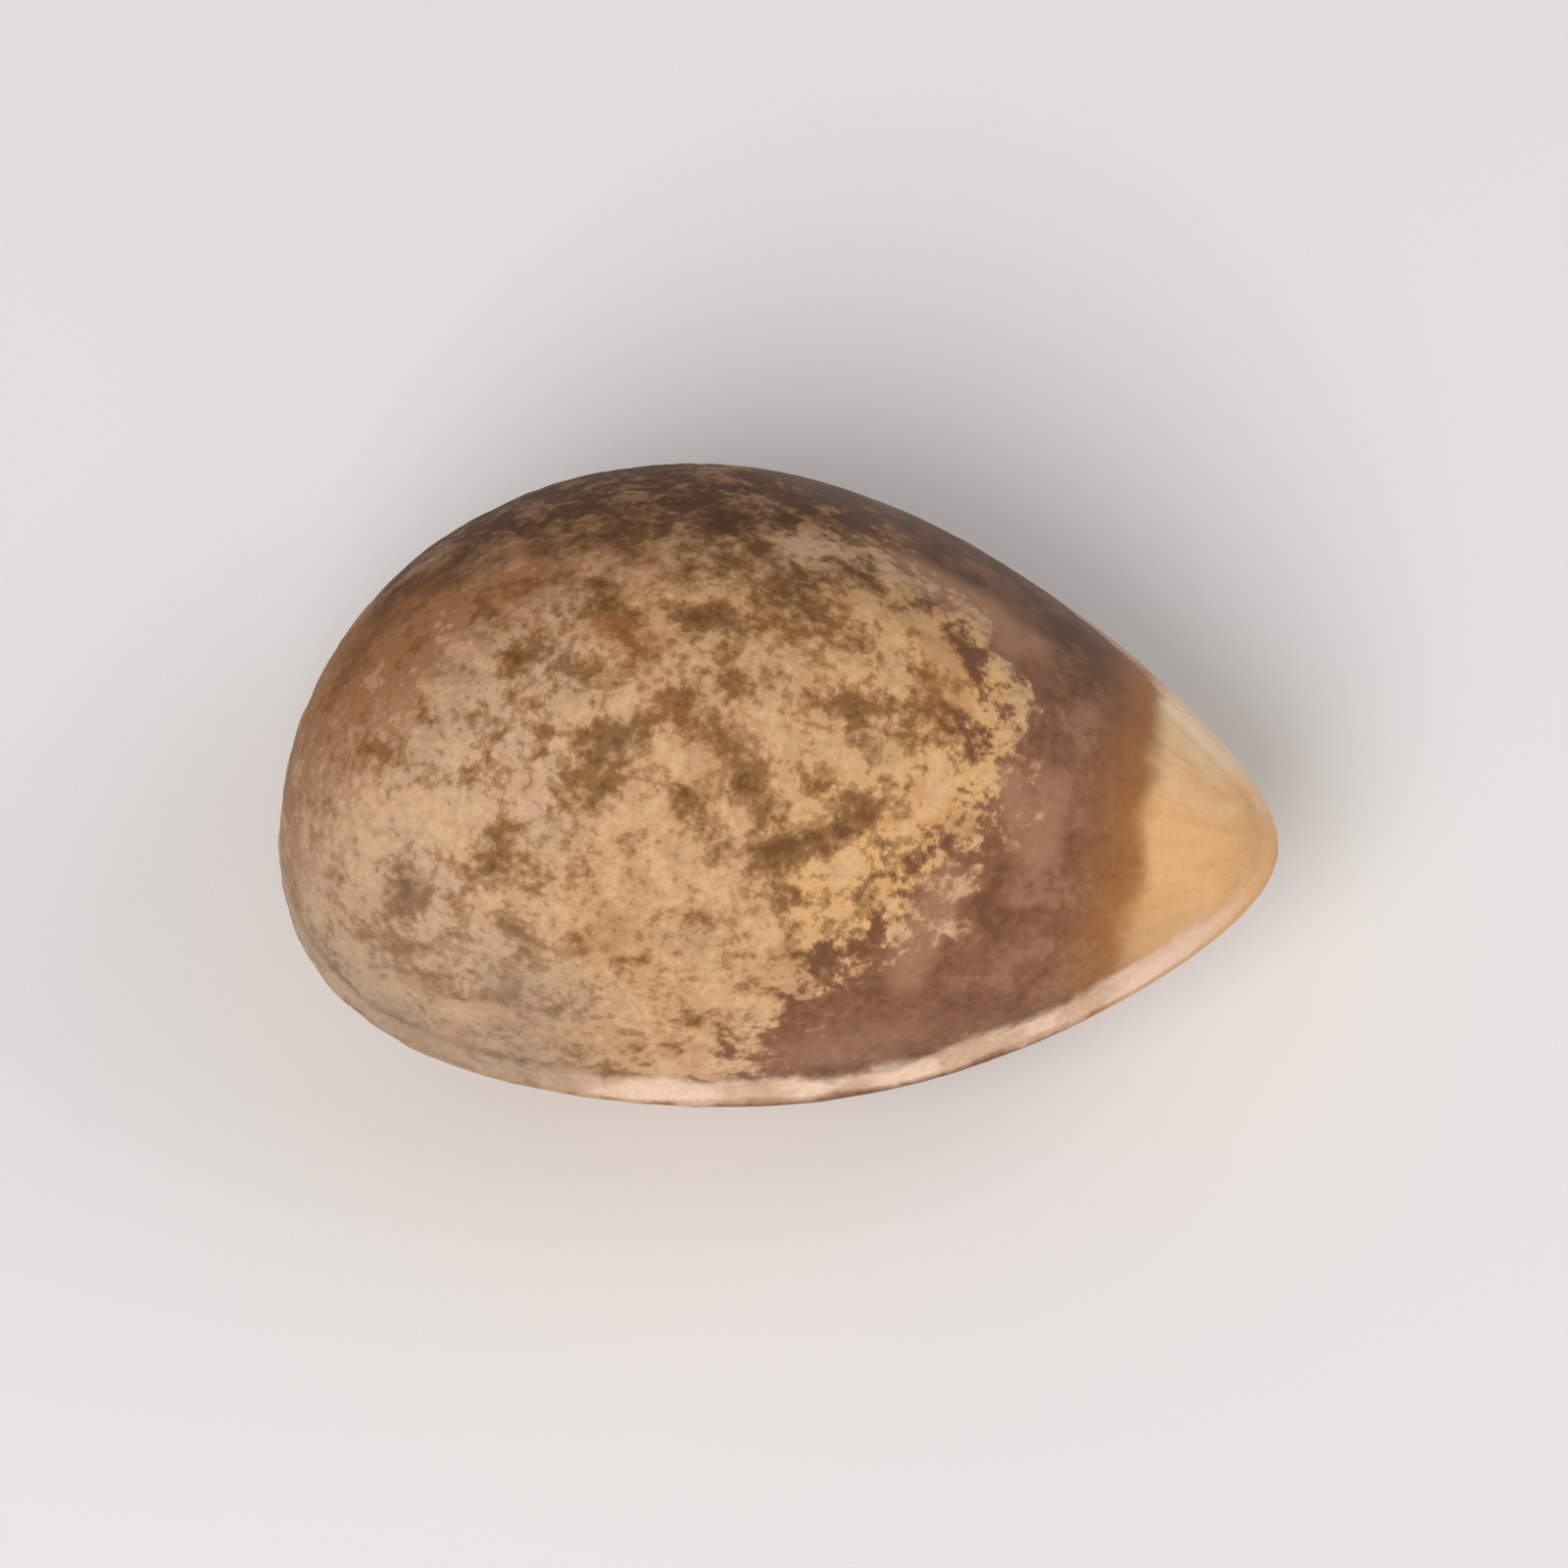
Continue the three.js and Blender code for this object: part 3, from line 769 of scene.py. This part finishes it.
def makeNut():
    material = nutShellMaterial()
    tree = nutTree(material)
    print("nodes:", len(tree.nodes), "in the form,", len(material.node_tree.nodes), "in the finish")
    nut = bpy.data.objects.new("nutShell", bpy.data.meshes.new("nutShell"))
    bpy.context.collection.objects.link(nut)
    low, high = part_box("pinyon_nut")
    values = {**nutForm, "Low Corner": low, "High Corner": high}
    modifier = nut.modifiers.new("nutShellTree", "NODES")
    modifier.node_group = tree
    for socket in tree.interface.items_tree:
        if socket.in_out == "INPUT":
            modifier[socket.identifier] = values[socket.name]
    evaluated = nut.evaluated_get(bpy.context.evaluated_depsgraph_get())
    mesh = bpy.data.meshes.new_from_object(evaluated)
    nut.modifiers.remove(modifier)
    nut.data = mesh
    mesh.name = "nutShell"
    mesh.materials.clear()  # one slot, with the shell's finish
    mesh.materials.append(material)
    mesh.polygons.foreach_set("material_index", [0] * len(mesh.polygons))
    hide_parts("pinyon_nut")
    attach(nut, "root")
    print("nut shell:", len(mesh.polygons), "faces")
    return nut


# A plain pale sheet under soft light
studio = {
    "floorSide": 2.0,
    "floor": "#f2efed",
    "floorRough": 0.9,
    "world": "#f6f4f2",
    "worldStrength": 0.42,
    "keyPower": 0.13,
    "keySide": 0.1,
    "keyFrom": (-0.03, -0.09, 0.12),
    "fillPower": 0.041,
    "fillSide": 0.12,
    "fillFrom": (0.1, 0.04, 0.08),
    "cameraAzimuth": 8.7,
    "cameraElevation": 70.0,
    "lens": 200.0,
    "sensor": 36.0,
    "frameWidth": 0.0225,  # across the picture at the nut
    "sightEnd": 10.0,
}


def makeFloor():
    half = studio["floorSide"] / 2
    mesh = bpy.data.meshes.new("paleFloor")
    corners = [(-half, -half, 0), (half, -half, 0), (half, half, 0), (-half, half, 0)]
    mesh.from_pydata(corners, [], [(0, 1, 2, 3)])
    floor = bpy.data.objects.new("paleFloor", mesh)
    bpy.context.collection.objects.link(floor)
    material = bpy.data.materials.new("palePaper")
    material.use_nodes = True
    tree = material.node_tree
    tree.nodes.clear()
    shader = addNode(tree, "ShaderNodeBsdfPrincipled", {
        "Base Color": colourOf(studio["floor"]), "Roughness": studio["floorRough"]})
    addNode(tree, "ShaderNodeOutputMaterial", {"Surface": shader})
    mesh.materials.append(material)


def makeSoftLight(name, place, side, power, target):
    light = bpy.data.lights.new(name, "AREA")
    light.shape = "DISK"
    light.size = side
    light.energy = power
    lamp = bpy.data.objects.new(name, light)
    lamp.location = place
    lamp.rotation_euler = (Vector(target) - Vector(place)).to_track_quat("-Z", "Y").to_euler()
    bpy.context.collection.objects.link(lamp)


def makeStudio():
    makeFloor()
    world = bpy.data.worlds.new("softSurround")
    world.use_nodes = True
    tree = world.node_tree
    tree.nodes.clear()
    sky = addNode(tree, "ShaderNodeBackground", [colourOf(studio["world"]), studio["worldStrength"]])
    addNode(tree, "ShaderNodeOutputWorld", {"Surface": sky})
    bpy.context.scene.world = world
    low, high = cadBounds
    middle = (low + high) / 2
    makeSoftLight("keyLight", studio["keyFrom"], studio["keySide"], studio["keyPower"], middle)
    makeSoftLight("fillLight", studio["fillFrom"], studio["fillSide"], studio["fillPower"], middle)
    camera = bpy.data.cameras.new("camera")
    camera.lens = studio["lens"]
    camera.sensor_width = studio["sensor"]
    camera.clip_start = mm
    camera.clip_end = studio["sightEnd"]
    eye = bpy.data.objects.new("camera", camera)
    azimuth, elevation = (math.radians(studio[name]) for name in ("cameraAzimuth", "cameraElevation"))
    back = Vector((math.sin(azimuth) * math.cos(elevation), -math.cos(azimuth) * math.cos(elevation),
                   math.sin(elevation)))
    away = studio["frameWidth"] * studio["lens"] / studio["sensor"]
    eye.location = middle + back * away
    eye.rotation_euler = Euler((math.pi / 2 - elevation, 0, azimuth))
    bpy.context.collection.objects.link(eye)
    bpy.context.scene.camera = eye
    view = bpy.context.scene.view_settings
    view.view_transform = "Standard"
    view.look = "None"
    print("studio: floor, two soft lights, camera at", tuple(round(value, 4) for value in eye.location))


makeNut()
makeStudio()
